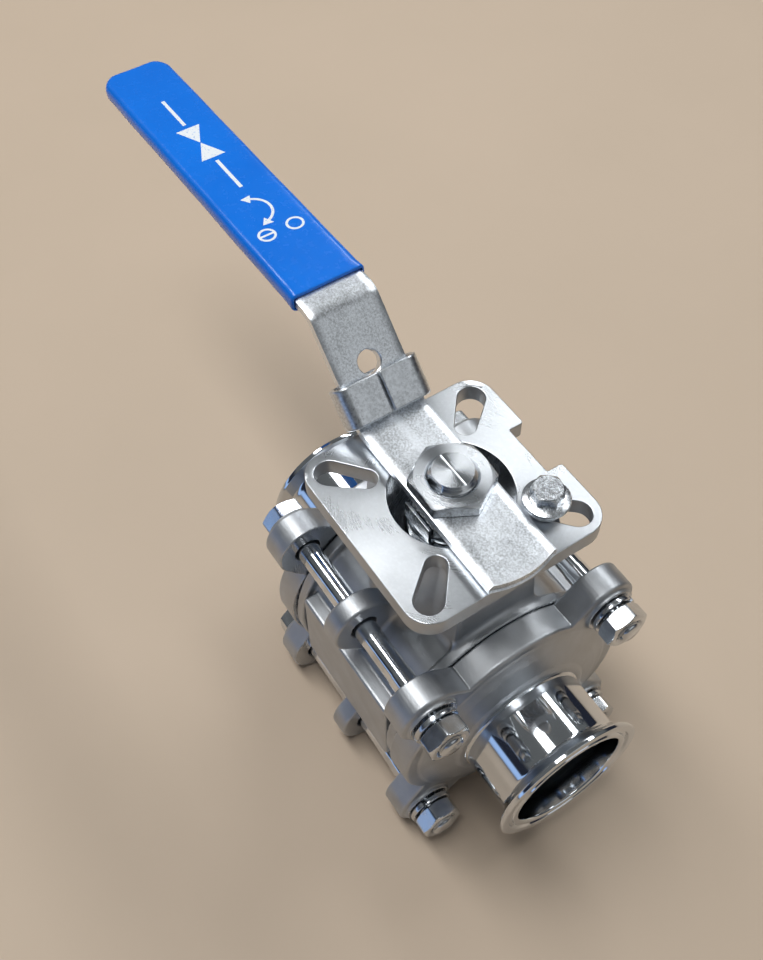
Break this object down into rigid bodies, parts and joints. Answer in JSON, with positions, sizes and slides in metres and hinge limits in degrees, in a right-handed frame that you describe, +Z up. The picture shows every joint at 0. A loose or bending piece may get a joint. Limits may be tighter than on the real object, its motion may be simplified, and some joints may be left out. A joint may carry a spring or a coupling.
{
  "type": "three piece ball valve",
  "caption": "Stainless three piece ball valve with clamp ferrule ends, direct mount pad, through bolts and a cranked lever with a blue grip and sliding lock collar.",
  "frame": {"origin": "on the stem axis, in the plane of the flat foot boss under the body", "axes": "+Z up along the stem; +X along the flow axis towards the front ferrule, away from the grip; +Y to the side the grip swings to when the valve is closed"},
  "size_m": [0.258, 0.0846, 0.1457],
  "materials": {
    "cast_stainless": "satin investment cast stainless",
    "brushed_stainless": "brushed stainless sheet",
    "polished_stainless": "polished stainless",
    "bright_fasteners": "bright stainless fasteners",
    "ptfe": "white fluoropolymer",
    "blue_vinyl": "glossy dipped vinyl"
  },
  "bodies": {
    "valve_body": {"body": "cast_stainless", "body_bolt_1": "bright_fasteners", "body_bolt_2": "bright_fasteners", "body_bolt_3": "bright_fasteners", "body_bolt_4": "bright_fasteners", "body_gasket_front": "ptfe", "body_gasket_rear": "ptfe", "body_nut_1": "bright_fasteners", "body_nut_2": "bright_fasteners", "body_nut_3": "bright_fasteners", "body_nut_4": "bright_fasteners", "end_cap_front": "cast_stainless", "end_cap_rear": "cast_stainless", "ferrule_front": "polished_stainless", "ferrule_rear": "polished_stainless", "gland_ring": "polished_stainless", "packing_ring_1": "ptfe", "packing_ring_2": "ptfe", "packing_ring_3": "ptfe", "seat_front": "ptfe", "seat_rear": "ptfe", "spring_washer_1": "bright_fasteners", "spring_washer_2": "bright_fasteners", "spring_washer_3": "bright_fasteners", "spring_washer_4": "bright_fasteners", "stop_bolt": "bright_fasteners", "stop_nut": "bright_fasteners", "stop_sleeve": "bright_fasteners", "stop_washer": "bright_fasteners", "thrust_washer": "ptfe"},
    "lever": {"stem": "polished_stainless", "ball": "polished_stainless", "disc_spring_lower": "bright_fasteners", "disc_spring_upper": "bright_fasteners", "tab_washer": "bright_fasteners", "gland_nut": "bright_fasteners", "handle": "brushed_stainless", "grip_sleeve": "blue_vinyl", "handle_nut": "bright_fasteners"},
    "lock": {"lock_collar": "brushed_stainless"}
  },
  "joints": [
    {"name": "handle_turn", "type": "hinge", "parent": "valve_body", "child": "lever", "pos_m": [0, 0, 0], "axis": [0, 0, 1], "range_deg": [-90, 0]},
    {"name": "lock_slide", "type": "slide", "parent": "lever", "child": "lock", "axis": [-0.7071, 0, 0.7071], "range_m": [-0.002, 0.015]}
  ]
}
